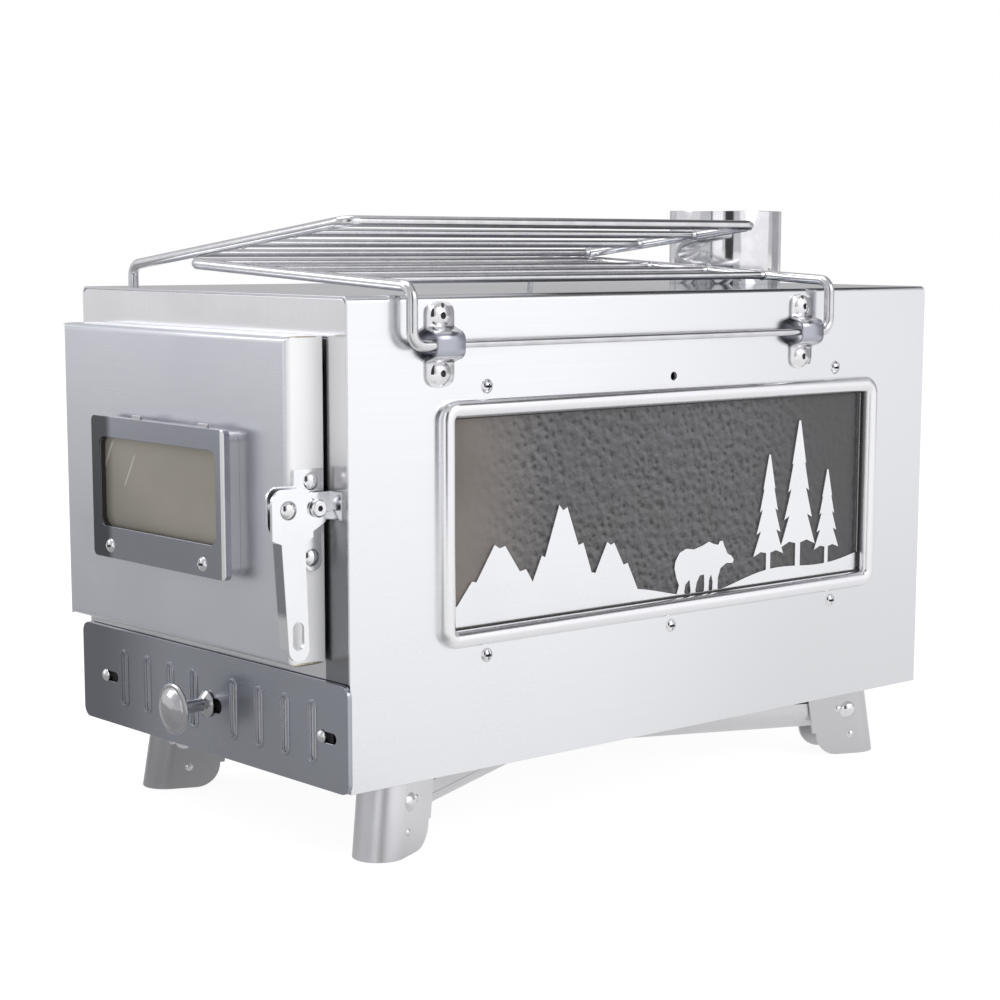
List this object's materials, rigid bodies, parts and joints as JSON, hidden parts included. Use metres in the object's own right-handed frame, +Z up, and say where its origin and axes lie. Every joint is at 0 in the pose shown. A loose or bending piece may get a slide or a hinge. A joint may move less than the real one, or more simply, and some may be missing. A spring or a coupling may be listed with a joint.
{
  "type": "tent wood stove",
  "caption": "Folding tent wood stove with glazed door and sides, ash drawer with air shutter, flue collar, fold-over wire racks and legs that fold under the floor.",
  "frame": {"origin": "middle of the whole object's footprint, on the ground it stands on", "axes": "+Z up, +Y from the door towards the flue end, +X towards the latch side of the door"},
  "size_m": [0.2306, 0.408, 0.2848],
  "materials": {
    "shell_steel": "fine brushed, bright",
    "front_steel": "fine brushed",
    "plain_steel": "mill finish",
    "grate_steel": "heat-darkened",
    "collar_steel": "polished",
    "rim_steel": "polished bead",
    "picture_steel": "laser cut, bright",
    "side_glass": "textured heat-proof glass",
    "door_glass": "amber-grey heat-proof glass",
    "fastener": "plated",
    "clip_steel": "polished",
    "door_steel": "brushed",
    "cover_steel": "brushed, darker",
    "latch_steel": "tumbled",
    "air_steel": "brushed, blue-grey",
    "knob_steel": "turned",
    "wire": "polished wire",
    "leg_steel": "bright formed sheet"
  },
  "bodies": {
    "stove_body": {"body_shell": "shell_steel", "front_plate": "front_steel", "back_plate": "front_steel", "floor_pan": "plain_steel", "fire_grate": "grate_steel", "flue_collar": "collar_steel", "right_window_rim": "rim_steel", "left_window_rim": "rim_steel", "right_picture_plate": "picture_steel", "left_picture_plate": "picture_steel", "right_side_glass": "side_glass", "left_side_glass": "side_glass", "right_glass_frame": "plain_steel", "left_glass_frame": "plain_steel", "window_screws": "fastener", "rack_clips": "clip_steel", "clip_rivets": "fastener", "hinge_lugs": "latch_steel", "hinge_pins": "fastener", "striker_tab": "latch_steel", "striker_pin": "fastener", "leg_brackets": "leg_steel", "leg_pivots": "fastener"},
    "door": {"door_pan": "door_steel", "door_liner": "plain_steel", "window_box": "latch_steel", "window_cover": "cover_steel", "door_glass": "door_glass", "cover_screws": "fastener", "door_hinge_ears": "latch_steel", "latch_plate": "latch_steel", "latch_rivets": "fastener", "latch_pivot": "fastener"},
    "latch_lever": {"latch_lever": "latch_steel"},
    "ash_drawer": {"air_plate": "air_steel", "ash_tray": "plain_steel"},
    "air_shutter": {"air_shutter": "plain_steel", "shutter_knob": "knob_steel", "shutter_screws": "fastener"},
    "right_rack": {"right_rack": "wire"},
    "left_rack": {"left_rack": "wire"},
    "front_right_leg": {"front_right_leg": "leg_steel"},
    "front_left_leg": {"front_left_leg": "leg_steel"},
    "rear_right_leg": {"rear_right_leg": "leg_steel"},
    "rear_left_leg": {"rear_left_leg": "leg_steel"}
  },
  "joints": [
    {"name": "door_hinge", "type": "hinge", "parent": "stove_body", "child": "door", "pos_m": [-0.096, -0.182, 0.161], "axis": [0, 0, -1], "range_deg": [0, 110]},
    {"name": "latch_turn", "type": "hinge", "parent": "door", "child": "latch_lever", "pos_m": [0.09555, -0.1958, 0.1585], "axis": [-1, 0, 0], "range_deg": [0, 35]},
    {"name": "drawer_slide", "type": "slide", "parent": "stove_body", "child": "ash_drawer", "axis": [0, -1, 0], "range_m": [0, 0.22]},
    {"name": "shutter_slide", "type": "slide", "parent": "ash_drawer", "child": "air_shutter", "axis": [1, 0, 0], "range_m": [0, 0.008]},
    {"name": "right_rack_hinge", "type": "hinge", "parent": "stove_body", "child": "right_rack", "pos_m": [0.1115, -0.01085, 0.225], "axis": [0, 1, 0], "range_deg": [-2, 0]},
    {"name": "left_rack_hinge", "type": "hinge", "parent": "stove_body", "child": "left_rack", "pos_m": [-0.1115, -0.0105, 0.225], "axis": [0, -1, 0], "range_deg": [0, 175]},
    {"name": "front_right_leg_fold", "type": "hinge", "parent": "stove_body", "child": "front_right_leg", "pos_m": [0.0833, -0.136, 0.024], "axis": [-0.9135, -0.4067, 0], "range_deg": [0, 99]},
    {"name": "front_left_leg_fold", "type": "hinge", "parent": "stove_body", "child": "front_left_leg", "pos_m": [-0.0833, -0.136, 0.024], "axis": [-0.9135, 0.4067, 0], "range_deg": [0, 99]},
    {"name": "rear_right_leg_fold", "type": "hinge", "parent": "stove_body", "child": "rear_right_leg", "pos_m": [0.0833, 0.168, 0.024], "axis": [0.9135, -0.4067, 0], "range_deg": [0, 99]},
    {"name": "rear_left_leg_fold", "type": "hinge", "parent": "stove_body", "child": "rear_left_leg", "pos_m": [-0.0833, 0.168, 0.024], "axis": [0.9135, 0.4067, 0], "range_deg": [0, 99]}
  ]
}
